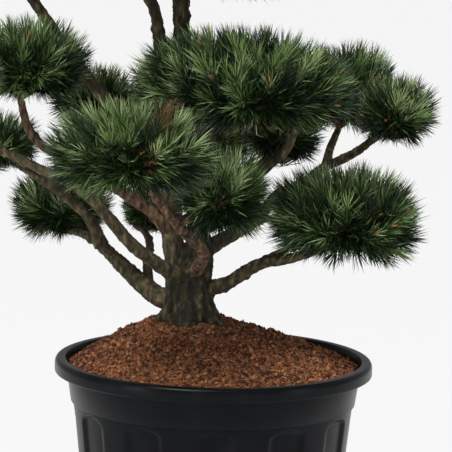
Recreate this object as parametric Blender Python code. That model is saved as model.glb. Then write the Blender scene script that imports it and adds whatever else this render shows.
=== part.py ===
"""Potted gnom mugo pine: a mountain pine trained into cloud-like pads, in a ribbed nursery pot.

Metres, +Z up. The origin is the centre of the pot's flat underside and -Y is the front.
Each limb starts on the axis of the limb that carries it, and is cut clear of it.
Each pad of needles is one solid: a stem, a few twigs, a dense core and toothed sprays.
"""

import math
import random

import bmesh
import bpy
from mathutils import Matrix, Vector
from mathutils.bvhtree import BVHTree

# Gaps that separate solids keep
GAP = 0.0003
CUT_GROWTH = 0.0004

# Driving sizes of the pot
POT_HEIGHT = 0.380
RIM_RADIUS = 0.250
RIM_TOP_RADIUS = 0.244
RIM_INNER_RADIUS = 0.233
LIP_DEPTH = 0.022
RIM_BEVEL = 0.003
STEP_SLOPE = 0.004
BAND_TOP_RADIUS = 0.2305
LEDGE_HEIGHT = 0.312
LEDGE_RADIUS = 0.2242
FOOT_RADIUS = 0.188
BODY_TOP_RADIUS = 0.2206
FLUTES = 12
FLUTE_TURN = math.radians(1.7)
FLUTE_DEPTH = 0.0050
FLUTE_HALF_ANGLE = math.radians(4.75)
PANEL_EDGE_ANGLE = math.radians(8.75)
FLUTE_ARCH_DROP = 0.024
WALL_THICKNESS = 0.0035
FLOOR_THICKNESS = 0.005
DRAIN_HOLES = 6
DRAIN_RADIUS = 0.010
DRAIN_CIRCLE_RADIUS = 0.140
DRAIN_SIDES = 8
POT_SHARP_ANGLE = math.radians(25)

# Driving sizes of the peat mound
GROUND_HEIGHT = POT_HEIGHT + 0.054
MOUND_EDGE_HEIGHT = POT_HEIGHT - 0.013
MOUND_COLUMNS = 32
MOUND_RINGS = 5
MOUND_SLOPE_POWER = 1.15
SEAT_RADIUS = 0.068
MOUND_BUMP = 0.0035
BUMPS_ROUND = 5
BUMPS_OUTWARD = 1.3
BUMP_TWIST = 4.0
MOUND_SHARP_ANGLE = math.radians(60)

# Driving sizes of the trunk: its radius at each height above the ground
TRUNK_FOOT = Vector((-0.038, 0.0, GROUND_HEIGHT + GAP))
TRUNK_RADII = (
    (0.000, 0.056),
    (0.010, 0.048),
    (0.024, 0.042),
    (0.050, 0.038),
    (0.080, 0.036),
    (0.104, 0.029),
    (0.130, 0.0185),
    (0.190, 0.0165),
    (0.470, 0.0135),
    (0.600, 0.0095),
    (0.670, 0.0070),
)
TRUNK_SIDES = 10
ROOT_LOBES = 5
ROOT_LOBE_SHARE = 0.13
ROOT_LOBE_HEIGHT = 0.035
ROOT_LOBE_TURN = 0.6
FLARE_STEP = 0.010
FOOT_FLATNESS = 0.002
TRUNK_BENDS = (
    (-0.039, 0.000, 0.458),
    (-0.042, 0.001, 0.495),
    (-0.038, 0.005, 0.522),
    (-0.028, 0.012, 0.560),
    (-0.030, 0.020, 0.605),
    (-0.044, 0.030, 0.705),
    (-0.056, 0.030, 0.815),
    (-0.062, 0.012, 0.935),
    (-0.059, 0.000, 1.030),
    (-0.058, 0.000, 1.114),
)

# Each limb: name, carrier, share along the carrier where it leaves, radius at base and tip, bends
LIMBS = (
    ("left_stem", "trunk", 0.105, 0.0180, 0.0065, (
        (-0.060, 0.000, 0.531), (-0.068, 0.000, 0.566), (-0.070, 0.000, 0.613), (-0.075, 0.005, 0.707),
        (-0.085, 0.010, 0.800), (-0.096, 0.010, 0.888), (-0.110, 0.000, 0.940), (-0.146, -0.036, 0.978),
        (-0.178, -0.066, 1.003))),
    ("far_left_stem", "left_stem", 0.219, 0.0120, 0.0080, (
        (-0.100, 0.020, 0.681), (-0.175, 0.002, 0.780), (-0.234, 0.005, 0.853), (-0.263, 0.010, 0.894),
        (-0.292, 0.015, 0.935), (-0.320, 0.025, 0.968))),
    ("rising_left_bough", "left_stem", 0.135, 0.0110, 0.0060, (
        (-0.109, -0.010, 0.617), (-0.198, -0.030, 0.674), (-0.269, -0.050, 0.715), (-0.293, -0.060, 0.748),
        (-0.301, -0.070, 0.781))),
    ("low_left_bough", "trunk", 0.052, 0.0190, 0.0060, (
        (-0.090, 0.020, 0.473), (-0.145, 0.070, 0.509), (-0.196, 0.115, 0.547), (-0.224, 0.140, 0.555),
        (-0.243, 0.160, 0.555))),
    ("front_left_bough", "trunk", 0.102, 0.0125, 0.0055, (
        (-0.075, -0.045, 0.525), (-0.127, -0.080, 0.567), (-0.158, -0.100, 0.605), (-0.203, -0.115, 0.655),
        (-0.264, -0.115, 0.685), (-0.330, -0.105, 0.713), (-0.377, -0.095, 0.726))),
    ("front_bough", "trunk", 0.102, 0.0112, 0.0060, (
        (-0.024, -0.045, 0.536), (-0.021, -0.075, 0.562), (-0.058, -0.125, 0.607), (-0.087, -0.175, 0.651),
        (-0.112, -0.222, 0.684))),
    ("low_right_bough", "trunk", 0.076, 0.0128, 0.0060, (
        (0.011, -0.015, 0.498), (0.046, -0.030, 0.522), (0.072, -0.040, 0.538), (0.115, -0.050, 0.548),
        (0.168, -0.060, 0.569), (0.191, -0.060, 0.579))),
    ("high_right_bough", "trunk", 0.150, 0.0128, 0.0060, (
        (0.007, 0.040, 0.560), (0.058, 0.075, 0.587), (0.095, 0.098, 0.625), (0.139, 0.110, 0.647),
        (0.169, 0.115, 0.671), (0.214, 0.090, 0.697), (0.246, 0.062, 0.725))),
    ("upper_bough", "trunk", 0.217, 0.0105, 0.0072, (
        (-0.002, 0.000, 0.596), (0.035, -0.033, 0.643), (0.071, -0.060, 0.687), (0.102, -0.074, 0.717),
        (0.114, -0.082, 0.746))),
    ("back_bough", "trunk", 0.232, 0.0100, 0.0055, (
        (-0.034, 0.100, 0.609), (-0.036, 0.190, 0.638), (-0.037, 0.250, 0.657))),
    ("back_right_bough", "trunk", 0.275, 0.0080, 0.0050, (
        (0.014, 0.040, 0.640), (0.057, 0.062, 0.673), (0.082, 0.078, 0.692))),
    ("back_upper_bough", "trunk", 0.414, 0.0080, 0.0055, (
        (-0.033, 0.085, 0.731), (-0.021, 0.145, 0.762))),
    ("top_right_bough", "trunk", 0.766, 0.0070, 0.0050, (
        (-0.042, -0.018, 0.962), (-0.018, -0.045, 0.972))),
    ("top_back_bough", "trunk", 0.712, 0.0080, 0.0055, (
        (-0.072, 0.080, 0.943), (-0.076, 0.150, 0.975))),
    ("back_left_bough", "far_left_stem", 0.176, 0.0065, 0.0050, (
        (-0.136, 0.050, 0.716), (-0.176, 0.070, 0.748))),
    ("low_left_riser", "low_left_bough", 0.700, 0.0100, 0.0050, (
        (-0.209, 0.105, 0.587), (-0.262, 0.095, 0.632), (-0.309, 0.095, 0.661), (-0.339, 0.100, 0.678))),
    ("back_middle_bough", "low_left_bough", 0.263, 0.0080, 0.0050, (
        (-0.110, 0.080, 0.517), (-0.108, 0.130, 0.538), (-0.118, 0.190, 0.550), (-0.134, 0.225, 0.555))),
    ("left_edge_bough", "front_left_bough", 0.891, 0.0052, 0.0040, (
        (-0.349, -0.140, 0.750), (-0.358, -0.185, 0.790), (-0.361, -0.210, 0.812))),
    ("front_side_bough", "front_bough", 0.581, 0.0070, 0.0050, (
        (-0.040, -0.128, 0.617), (-0.014, -0.124, 0.619))),
    ("low_right_fork", "low_right_bough", 0.478, 0.0070, 0.0045, (
        (0.093, -0.034, 0.551), (0.140, -0.024, 0.574))),
    ("high_right_fork", "high_right_bough", 0.732, 0.0075, 0.0055, (
        (0.180, 0.145, 0.698), (0.192, 0.170, 0.724))),
    ("high_right_side", "high_right_bough", 0.311, 0.0060, 0.0040, (
        (0.078, 0.050, 0.595), (0.106, 0.020, 0.606))),
)
PATH_STEP = 0.050
LIMB_SIDES = ((0.012, 7), (0.009, 6), (0.0, 5))
BARK_SHARP_ANGLE = math.radians(50)

# Each pad: name, bough that carries it, centre, half width, half depth, rise, fall, sprays, lobes
PADS = (
    ("front_left", "front_bough", (-0.126, -0.262, 0.733), 0.129, 0.092, 0.082, 0.074, 17, 4),
    ("front_right", "front_side_bough", (0.008, -0.128, 0.652), 0.077, 0.063, 0.085, 0.080, 12, 3),
    ("right", "low_right_bough", (0.199, -0.040, 0.607), 0.129, 0.100, 0.092, 0.080, 18, 4),
    ("upper", "upper_bough", (0.032, -0.098, 0.812), 0.180, 0.092, 0.098, 0.070, 22, 5),
    ("far_right_upper", "high_right_fork", (0.210, 0.190, 0.790), 0.082, 0.076, 0.084, 0.078, 11, 3),
    ("far_right_lower", "high_right_bough", (0.282, 0.055, 0.770), 0.068, 0.060, 0.064, 0.060, 9, 3),
    ("upper_left", "rising_left_bough", (-0.288, -0.085, 0.846), 0.097, 0.088, 0.074, 0.064, 12, 4),
    ("left_edge", "left_edge_bough", (-0.368, -0.234, 0.838), 0.058, 0.052, 0.045, 0.040, 7, 3),
    ("back_left", "back_left_bough", (-0.197, 0.075, 0.780), 0.078, 0.070, 0.058, 0.050, 8, 3),
    ("left_middle", "low_left_riser", (-0.358, 0.100, 0.704), 0.080, 0.074, 0.054, 0.052, 8, 3),
    ("left_low", "low_left_bough", (-0.254, 0.180, 0.594), 0.088, 0.082, 0.068, 0.066, 9, 3),
    ("back_middle", "back_middle_bough", (-0.110, 0.250, 0.588), 0.052, 0.070, 0.052, 0.048, 7, 3),
    ("back_centre", "back_bough", (-0.030, 0.270, 0.698), 0.095, 0.085, 0.060, 0.046, 10, 3),
    ("back_right", "back_right_bough", (0.102, 0.080, 0.728), 0.068, 0.054, 0.060, 0.058, 8, 3),
    ("back_upper", "back_upper_bough", (-0.016, 0.165, 0.812), 0.108, 0.084, 0.068, 0.050, 12, 4),
    ("left_outer", "front_left_bough", (-0.424, -0.085, 0.758), 0.064, 0.064, 0.047, 0.043, 8, 3),
    ("top_left", "far_left_stem", (-0.338, 0.034, 1.014), 0.103, 0.094, 0.068, 0.050, 11, 4),
    ("top_front", "left_stem", (-0.182, -0.100, 1.050), 0.096, 0.088, 0.066, 0.052, 11, 4),
    ("top", "trunk", (-0.059, 0.000, 1.172), 0.130, 0.120, 0.078, 0.056, 14, 5),
    ("top_right", "top_right_bough", (0.035, -0.078, 1.005), 0.094, 0.082, 0.060, 0.064, 11, 3),
    ("top_back", "top_back_bough", (-0.077, 0.175, 1.018), 0.110, 0.092, 0.062, 0.052, 11, 4),
)
PAD_FULLNESS = 2.5
LOBE_DIP = 0.05

# Sizes of the stem, twigs, core and sprays inside a pad
STEM_GAP = GAP + 0.00005
KNEE_LENGTH = 0.008
HUB_SHARE = 0.25
STEM_TAPER = (1.0, 0.9, 0.6)
STEM_SIDES = 4
PAD_TWIGS = 3
TWIG_SCATTER = 0.3
TWIG_RADIUS = 0.0032
TWIG_TAPER = 0.6
TWIG_SIDES = 3
TWIG_INSETS = 1.5
TWIG_DROP_SHARE = 0.25
TWIG_TEST_SHARES = (0.3, 0.5, 0.7)
CORE_INSET_SHARE = 0.38
CORE_TIP_CLEARANCE = 0.013
CORE_LEAST_FALL = 0.010
CORE_FALL_SHARE = 0.45
CORE_SCATTER = (1.00, 1.08)
LONGEST_SPRAY = 0.050
SPRAY_SHARE = 0.75
SPRAY_ROOT_SHARE = 1.15
SPRAY_LOWEST = -0.80
SPRAY_TEST_SHARES = (0.25, 0.50, 0.75, 1.00)
LENGTH_SCATTER = (0.98, 1.04)
LIMB_CLEARANCE = 0.002

# Outline of one spray, as shares of its width and length
SPRAY_WIDTH_SHARE = 0.80
SPRAY_THICKNESS = 0.0030
SPRAY_TEETH = 4
SPRAY_FOOT_WIDTH = 0.20
VALLEY_WIDTH = 0.42
VALLEY_LENGTH = 0.58
VALLEY_ARCH = 0.30
TOOTH_WIDTH = 1.25
TOOTH_ARCH = 0.55


def smooth_path(points, step=PATH_STEP):
    """Evenly refined Catmull-Rom curve through the points."""
    points = [Vector(p) for p in points]
    ends = [2 * points[0] - points[1]] + points + [2 * points[-1] - points[-2]]
    path = []
    for before, start, end, after in zip(ends, ends[1:], ends[2:], ends[3:]):
        pieces = max(1, round((end - start).length / step))
        for piece in range(pieces):
            t = piece / pieces
            path.append(0.5 * (2 * start + (end - before) * t
                               + (2 * before - 5 * start + 4 * end - after) * t ** 2
                               + (3 * start - before - 3 * end + after) * t ** 3))
    path.append(points[-1])
    return path


def shares_along(path):
    """Share of the path's whole length at each of its points."""
    lengths = [0.0]
    for start, end in zip(path, path[1:]):
        lengths.append(lengths[-1] + (end - start).length)
    return [length / lengths[-1] for length in lengths]


def point_at(path, share):
    """Point at a share of the path's length."""
    shares = shares_along(path)
    for index in range(len(path) - 1):
        if share <= shares[index + 1]:
            local = (share - shares[index]) / (shares[index + 1] - shares[index])
            return path[index].lerp(path[index + 1], local)
    return path[-1].copy()


def ring_frames(path):
    """Side and up directions square to the path at each point, turned as little as possible."""
    last = len(path) - 1
    side = Vector((0.0, -1.0, 0.0))
    frames = []
    for index in range(len(path)):
        along = (path[min(index + 1, last)] - path[max(index - 1, 0)]).normalized()
        side = (side - along * side.dot(along)).normalized()
        frames.append((side, along.cross(side), along))
    return frames


def skin_rings(rings):
    """Closed mesh of triangles over a stack of rings with equal point counts."""
    mesh = bmesh.new()
    loops = [[mesh.verts.new(point) for point in ring] for ring in rings]
    count = len(loops[0])
    for low, high in zip(loops, loops[1:]):
        for index in range(count):
            following = (index + 1) % count
            mesh.faces.new((low[index], low[following], high[following]))
            mesh.faces.new((low[index], high[following], high[index]))
    mesh.faces.new(loops[0][::-1])
    mesh.faces.new(loops[-1])
    bmesh.ops.recalc_face_normals(mesh, faces=mesh.faces)
    return mesh


def tube(path, radii, sides, growth=0.0, lobes=None):
    """Closed tube with a radius at each path point; growth swells it and lengthens its ends."""
    frames = ring_frames(path)
    last = len(path) - 1
    rings = []
    for index, (centre, radius) in enumerate(zip(path, radii)):
        side, up, along = frames[index]
        if growth and index == 0:
            centre = centre - along * GAP
        if growth and index == last:
            centre = centre + along * GAP
        ring = []
        for corner in range(sides):
            angle = 2 * math.pi * corner / sides
            reach = radius * (lobes(angle, centre) if lobes else 1.0) + growth
            heading = side * math.cos(angle) + up * math.sin(angle)
            ring.append(centre + reach * heading)
        rings.append(ring)
    return skin_rings(rings)


def material(name, colour, roughness):
    """Plain finish for one kind of piece."""
    finish = bpy.data.materials.new(name)
    finish.use_nodes = True
    shader = finish.node_tree.nodes["Principled BSDF"]
    shader.inputs["Base Color"].default_value = (*colour, 1.0)
    shader.inputs["Roughness"].default_value = roughness
    shader.inputs["Metallic"].default_value = 0.0
    return finish


def add_object(name, mesh, finish=None, smooth_angle=None):
    """Turn an edit mesh into a named object in the scene."""
    data = bpy.data.meshes.new(name)
    mesh.to_mesh(data)
    mesh.free()
    if finish:
        data.materials.append(finish)
    if smooth_angle is not None:
        data.shade_smooth()
        data.set_sharp_from_angle(angle=smooth_angle)
    piece = bpy.data.objects.new(name, data)
    bpy.context.scene.collection.objects.link(piece)
    return piece


def apply_boolean(piece, operation, operand):
    """Join or cut with an object or a collection, apply the result and remove the operand."""
    modifier = piece.modifiers.new("boolean", "BOOLEAN")
    modifier.operation = operation
    modifier.solver = "EXACT"
    if isinstance(operand, bpy.types.Collection):
        modifier.operand_type = "COLLECTION"
        modifier.collection = operand
        leftovers = list(operand.objects)
    else:
        modifier.object = operand
        leftovers = [operand]
    depsgraph = bpy.context.evaluated_depsgraph_get()
    result = bpy.data.meshes.new_from_object(piece.evaluated_get(depsgraph))
    piece.modifiers.clear()
    former = piece.data
    name = former.name
    piece.data = result
    bpy.data.meshes.remove(former)
    result.name = name
    for leftover in leftovers:
        data = leftover.data
        bpy.data.objects.remove(leftover)
        bpy.data.meshes.remove(data)
    if isinstance(operand, bpy.types.Collection):
        bpy.data.collections.remove(operand)


def keep_largest_shell(piece):
    """Drop loose scraps and fill sealed hollows: only the outer shell of the main body stays."""
    mesh = bmesh.new()
    mesh.from_mesh(piece.data)
    waiting = set(mesh.verts)
    shells = []
    while waiting:
        front = [waiting.pop()]
        shell = set(front)
        while front:
            vertex = front.pop()
            for edge in vertex.link_edges:
                other = edge.other_vert(vertex)
                if other in waiting:
                    waiting.remove(other)
                    shell.add(other)
                    front.append(other)
        shells.append(shell)
    largest = max(shells, key=len)
    scraps = [vertex for shell in shells if shell is not largest for vertex in shell]
    bmesh.ops.delete(mesh, geom=scraps, context="VERTS")
    mesh.to_mesh(piece.data)
    mesh.free()


def touches(piece, mesh):
    """Whether the faces of an object and an edit mesh cross."""
    own = bmesh.new()
    own.from_mesh(piece.data)
    crossing = BVHTree.FromBMesh(own).overlap(BVHTree.FromBMesh(mesh))
    own.free()
    return bool(crossing)


def cut_clear(piece, solid_maker):
    """Cut a piece back where it meets a swollen neighbour."""
    mesh = solid_maker(CUT_GROWTH)
    if not touches(piece, mesh):
        mesh.free()
        return
    cutter = add_object("cutter", mesh)
    cutter.hide_render = True
    cutter.display_type = "WIRE"
    apply_boolean(piece, "DIFFERENCE", cutter)
    keep_largest_shell(piece)


# The pot


def flute_columns():
    """Angle and share of the flute's depth for each upright line of the wall."""
    columns = []
    for flute in range(FLUTES):
        middle = FLUTE_TURN - math.pi / 2 + 2 * math.pi * flute / FLUTES
        columns += [(middle - PANEL_EDGE_ANGLE, 0.0), (middle - FLUTE_HALF_ANGLE, 1.0),
                    (middle + FLUTE_HALF_ANGLE, 1.0), (middle + PANEL_EDGE_ANGLE, 0.0)]
    return columns


def pot_body_radius(height):
    """Radius of the panels between the flutes."""
    return FOOT_RADIUS + (BODY_TOP_RADIUS - FOOT_RADIUS) * height / LEDGE_HEIGHT


def pot_inner_radius(height):
    """Radius of the smooth inside wall."""
    low = pot_body_radius(height) - FLUTE_DEPTH - WALL_THICKNESS
    top = pot_body_radius(LEDGE_HEIGHT) - FLUTE_DEPTH - WALL_THICKNESS
    if height <= LEDGE_HEIGHT:
        return low
    return top + (RIM_INNER_RADIUS - top) * (height - LEDGE_HEIGHT) / (POT_HEIGHT - LEDGE_HEIGHT)


def make_pot(finish):
    """Fluted cone with a plain band and a rolled rim, hollow, with drain holes in its floor."""
    lip_bottom = POT_HEIGHT - LIP_DEPTH
    arch_start = LEDGE_HEIGHT - FLUTE_ARCH_DROP
    ledge_start = LEDGE_HEIGHT - STEP_SLOPE
    outline = (
        (0.0, FOOT_RADIUS, 1.0),
        (arch_start, pot_body_radius(arch_start), 1.0),
        (ledge_start, pot_body_radius(ledge_start), 0.0),
        (LEDGE_HEIGHT, LEDGE_RADIUS, 0.0),
        (lip_bottom - STEP_SLOPE, BAND_TOP_RADIUS, 0.0),
        (lip_bottom, RIM_RADIUS - RIM_BEVEL, 0.0),
        (lip_bottom + RIM_BEVEL, RIM_RADIUS, 0.0),
        (POT_HEIGHT - 2 * RIM_BEVEL, RIM_RADIUS, 0.0),
        (POT_HEIGHT, RIM_TOP_RADIUS, 0.0),
        (POT_HEIGHT, RIM_INNER_RADIUS, 0.0),
        (LEDGE_HEIGHT, pot_inner_radius(LEDGE_HEIGHT), 0.0),
        (FLOOR_THICKNESS, pot_inner_radius(FLOOR_THICKNESS), 0.0),
    )
    rings = []
    for height, radius, flute_share in outline:
        ring = []
        for angle, depth_share in flute_columns():
            reach = radius - FLUTE_DEPTH * depth_share * flute_share
            ring.append(Vector((reach * math.cos(angle), reach * math.sin(angle), height)))
        rings.append(ring)
    pot = add_object("pot", skin_rings(rings), finish)
    drains = bpy.data.collections.new("drains")
    for hole in range(DRAIN_HOLES):
        angle = 2 * math.pi * hole / DRAIN_HOLES
        place = Vector((math.cos(angle), math.sin(angle), 0.0)) * DRAIN_CIRCLE_RADIUS
        place.z = FLOOR_THICKNESS / 2
        mesh = bmesh.new()
        bmesh.ops.create_cone(mesh, cap_ends=True, segments=DRAIN_SIDES, radius1=DRAIN_RADIUS,
                              radius2=DRAIN_RADIUS, depth=3 * FLOOR_THICKNESS,
                              matrix=Matrix.Translation(place))
        drain = add_object("drain", mesh)
        drain.hide_render = True
        drain.display_type = "WIRE"
        bpy.context.scene.collection.objects.unlink(drain)
        drains.objects.link(drain)
    apply_boolean(pot, "DIFFERENCE", drains)
    pot.data.shade_smooth()
    pot.data.set_sharp_from_angle(angle=POT_SHARP_ANGLE)
    return pot


# The peat


def mound_headings():
    """Evenly spaced level directions round the mound, each with its angle."""
    angles = [2 * math.pi * column / MOUND_COLUMNS for column in range(MOUND_COLUMNS)]
    return [(angle, Vector((math.cos(angle), math.sin(angle), 0.0))) for angle in angles]


def make_soil(finish):
    """Peat that fills the pot and rises to a low mound with a flat seat under the trunk."""
    facet_share = math.cos((2 * math.pi / FLUTES - 2 * PANEL_EDGE_ANGLE) / 2)

    def edge_radius(height):
        return pot_inner_radius(height) * facet_share - GAP

    seat_centre = Vector((TRUNK_FOOT.x, TRUNK_FOOT.y, GROUND_HEIGHT))
    rings = []
    for height in (FLOOR_THICKNESS + GAP, LEDGE_HEIGHT):
        level = Vector((0.0, 0.0, height))
        rings.append([level + heading * edge_radius(height) for _, heading in mound_headings()])
    for ring_index in range(MOUND_RINGS, -1, -1):
        share = ring_index / MOUND_RINGS
        ring = []
        for angle, heading in mound_headings():
            seat = seat_centre + heading * SEAT_RADIUS
            edge = heading * edge_radius(MOUND_EDGE_HEIGHT)
            edge.z = MOUND_EDGE_HEIGHT
            point = seat.lerp(edge, share)
            point.z = GROUND_HEIGHT + (MOUND_EDGE_HEIGHT - GROUND_HEIGHT) * share ** MOUND_SLOPE_POWER
            bump = math.sin(BUMPS_ROUND * angle + BUMP_TWIST * share)
            bump *= math.sin(2 * math.pi * BUMPS_OUTWARD * share) * math.sin(math.pi * share)
            point.z += MOUND_BUMP * bump
            ring.append(point)
        rings.append(ring)
    return add_object("soil", skin_rings(rings), finish, MOUND_SHARP_ANGLE)


# The trunk and its limbs


def trunk_radius(height):
    """Radius at a height above the ground, straight between the measured heights."""
    for (low, low_radius), (high, high_radius) in zip(TRUNK_RADII, TRUNK_RADII[1:]):
        if height <= high:
            share = (height - low) / (high - low)
            return low_radius + (high_radius - low_radius) * share
    return TRUNK_RADII[-1][1]


def root_flare(angle, centre):
    """Lobed outline of the foot, which fades into the round trunk."""
    height = centre.z - TRUNK_FOOT.z
    fade = max(0.0, 1.0 - height / ROOT_LOBE_HEIGHT)
    return 1.0 + ROOT_LOBE_SHARE * fade * math.cos(ROOT_LOBES * angle + ROOT_LOBE_TURN)


def trunk_path():
    """Trunk's middle line, with extra points in the short flare at its foot."""
    flare = [TRUNK_FOOT, TRUNK_FOOT + Vector((0.0, 0.0, FLARE_STEP))]
    return flare + smooth_path(TRUNK_BENDS)


def make_trunk_solid(growth=0.0):
    """The trunk from its flat cut at the ground to the tip in the top pad."""
    path = trunk_path()
    radii = [trunk_radius(point.z - TRUNK_FOOT.z) for point in path]
    mesh = tube(path, radii, TRUNK_SIDES, growth, root_flare)
    foot = TRUNK_FOOT.z - growth
    for vertex in mesh.verts:
        if vertex.co.z < TRUNK_FOOT.z + FOOT_FLATNESS:
            vertex.co.z = foot
    return mesh


def limb_sides(base_radius):
    """Thicker limbs have more sides."""
    return next(sides for thickness, sides in LIMB_SIDES if base_radius > thickness)


def limb_maker(path, base_radius, tip_radius):
    """Function that makes the limb's solid, swollen when it serves as a cutter."""
    shares = shares_along(path)
    radii = [base_radius + (tip_radius - base_radius) * share for share in shares]

    def make(growth=0.0):
        return tube(path, radii, limb_sides(base_radius), growth)
    return make


def make_wood(finish):
    """Trunk and limbs; returns each one's path, end radii and solid maker."""
    wood = {"trunk": (trunk_path(), TRUNK_RADII[0][1], TRUNK_RADII[-1][1], make_trunk_solid)}
    add_object("trunk", make_trunk_solid(), finish, BARK_SHARP_ANGLE)
    for name, carrier, share, base_radius, tip_radius, bends in LIMBS:
        start = point_at(wood[carrier][0], share)
        path = smooth_path((start, *bends))
        maker = limb_maker(path, base_radius, tip_radius)
        limb = add_object(name, maker(), finish, BARK_SHARP_ANGLE)
        for _, _, _, earlier_maker in wood.values():
            cut_clear(limb, earlier_maker)
        wood[name] = (path, base_radius, tip_radius, maker)
    return wood


# The pads of needles


def nearest_limb_gap(point, wood):
    """Distance from a point to the bark of the nearest limb."""
    nearest = math.inf
    for name, (path, base_radius, tip_radius, _) in wood.items():
        shares = shares_along(path)
        for index in range(len(path) - 1):
            start, end = path[index], path[index + 1]
            run = end - start
            local = min(1.0, max(0.0, (point - start).dot(run) / run.length_squared))
            radius = base_radius + (tip_radius - base_radius) * shares[index]
            if name == "trunk":
                radius = trunk_radius(start.z - TRUNK_FOOT.z)
            nearest = min(nearest, (point - start.lerp(end, local)).length - radius)
    return nearest


def toothed_spray(root, tip, width, roll):
    """Thin fan of needles: a blade that is thick at its root and runs out in sharp teeth."""
    along = (tip - root).normalized()
    length = (tip - root).length
    across = along.orthogonal().normalized()
    across.rotate(Matrix.Rotation(roll, 3, along))
    thick = along.cross(across) * SPRAY_THICKNESS / 2
    mesh = bmesh.new()

    def place(spread, forward):
        return root + across * spread * width + along * forward * length

    base = []
    for valley in range(SPRAY_TEETH + 1):
        spread = valley / SPRAY_TEETH - 0.5
        inner = 0 < valley < SPRAY_TEETH
        if inner:
            middle = place(VALLEY_WIDTH * spread, VALLEY_LENGTH - VALLEY_ARCH * spread ** 2)
        else:
            middle = place(SPRAY_FOOT_WIDTH * spread, 0.0)
        base.append((mesh.verts.new(middle + thick), mesh.verts.new(middle - thick)))
    mesh.faces.new([front for front, _ in base])
    mesh.faces.new([back for _, back in reversed(base)])
    mesh.faces.new((base[-1][0], base[-1][1], base[0][1], base[0][0]))
    for tooth, (left, right) in enumerate(zip(base, base[1:])):
        spread = (tooth + 0.5) / SPRAY_TEETH - 0.5
        point = mesh.verts.new(place(TOOTH_WIDTH * spread, 1.0 - TOOTH_ARCH * spread ** 2))
        loop = (left[0], right[0], right[1], left[1])
        for start, end in zip(loop, loop[1:] + loop[:1]):
            mesh.faces.new((start, end, point))
    bmesh.ops.recalc_face_normals(mesh, faces=mesh.faces)
    return mesh


def pad_direction(index, count, turn):
    """Evenly spread headings over the dome and the upper part of its underside."""
    upright = 1.0 - (index + 0.5) / count * (1.0 - SPRAY_LOWEST)
    heading = index * math.pi * (3.0 - math.sqrt(5.0)) + turn
    flat = math.sqrt(1.0 - upright ** 2)
    return Vector((flat * math.cos(heading), flat * math.sin(heading), upright))


def pad_reach(direction, half_width, half_depth, rise, fall, lobes, turn):
    """Offset from the pad's centre to its outline in a direction, with shallow lobes round it."""
    flat = math.hypot(direction.x, direction.y)
    heading = math.atan2(direction.y, direction.x)
    dip = 1.0 - LOBE_DIP * flat * (0.5 - 0.5 * math.cos(lobes * heading + turn))
    fullness = sum(abs(part) ** PAD_FULLNESS for part in direction) ** (-1.0 / PAD_FULLNESS)
    height = rise if direction.z > 0 else fall
    size = Vector((direction.x * half_width, direction.y * half_depth, direction.z * height))
    return size * fullness * dip


def make_pad(index, pad, wood, finish):
    """One pad: stem, twigs and core, with toothed sprays that reach its outline."""
    name, bough, centre, half_width, half_depth, rise, fall, sprays, lobes = pad
    chance = random.Random(index + 1)
    turn = chance.uniform(0.0, 2 * math.pi)
    centre = Vector(centre)
    path, _, stem_radius, _ = wood[bough]
    heading = (path[-1] - path[-2]).normalized()
    stem_foot = path[-1] + heading * STEM_GAP
    knee = stem_foot + heading * KNEE_LENGTH
    hub = centre.lerp(knee, HUB_SHARE)
    spray_length = min(LONGEST_SPRAY, SPRAY_SHARE * min(half_depth, rise))
    inset = CORE_INSET_SHARE * spray_length
    lowest_core = min(fall - CORE_FALL_SHARE * spray_length, centre.z - stem_foot.z - CORE_TIP_CLEARANCE)
    core_fall = max(CORE_LEAST_FALL, lowest_core)

    core = bmesh.new()
    bmesh.ops.create_icosphere(core, subdivisions=1, radius=1.0)
    for vertex in core.verts:
        reach = pad_reach(vertex.co.normalized(), half_width - inset, half_depth - inset,
                          rise - inset, core_fall, lobes, turn)
        vertex.co = centre + reach * chance.uniform(*CORE_SCATTER)
    pad_object = add_object("needles_" + name, core, finish)
    parts = bpy.data.collections.new("parts")

    def add_part(mesh):
        part = add_object("part", mesh)
        bpy.context.scene.collection.objects.unlink(part)
        parts.objects.link(part)

    def near_limb(start, end, shares):
        gaps = [nearest_limb_gap(start.lerp(end, share), wood) for share in shares]
        return min(gaps) < LIMB_CLEARANCE

    add_part(tube([stem_foot, knee, hub], [stem_radius * taper for taper in STEM_TAPER], STEM_SIDES))
    for twig in range(PAD_TWIGS):
        angle = turn + 2 * math.pi * (twig + chance.uniform(-TWIG_SCATTER, TWIG_SCATTER)) / PAD_TWIGS
        far = centre + Vector((math.cos(angle) * (half_width - TWIG_INSETS * inset),
                               math.sin(angle) * (half_depth - TWIG_INSETS * inset),
                               -TWIG_DROP_SHARE * core_fall))
        if not near_limb(knee, far, TWIG_TEST_SHARES):
            add_part(tube([knee, far], [TWIG_RADIUS, TWIG_TAPER * TWIG_RADIUS], TWIG_SIDES))
    for spray in range(sprays):
        direction = pad_direction(spray, sprays, turn)
        reach = pad_reach(direction, half_width, half_depth, rise, fall, lobes, turn)
        tip = centre + reach * chance.uniform(*LENGTH_SCATTER)
        roll = chance.uniform(0.0, math.pi)
        root = tip - (tip - hub).normalized() * spray_length * SPRAY_ROOT_SHARE
        if not near_limb(root, tip, SPRAY_TEST_SHARES):
            add_part(toothed_spray(root, tip, spray_length * SPRAY_WIDTH_SHARE, roll))
    apply_boolean(pad_object, "UNION", parts)
    keep_largest_shell(pad_object)
    for _, _, _, maker in wood.values():
        cut_clear(pad_object, maker)


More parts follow.
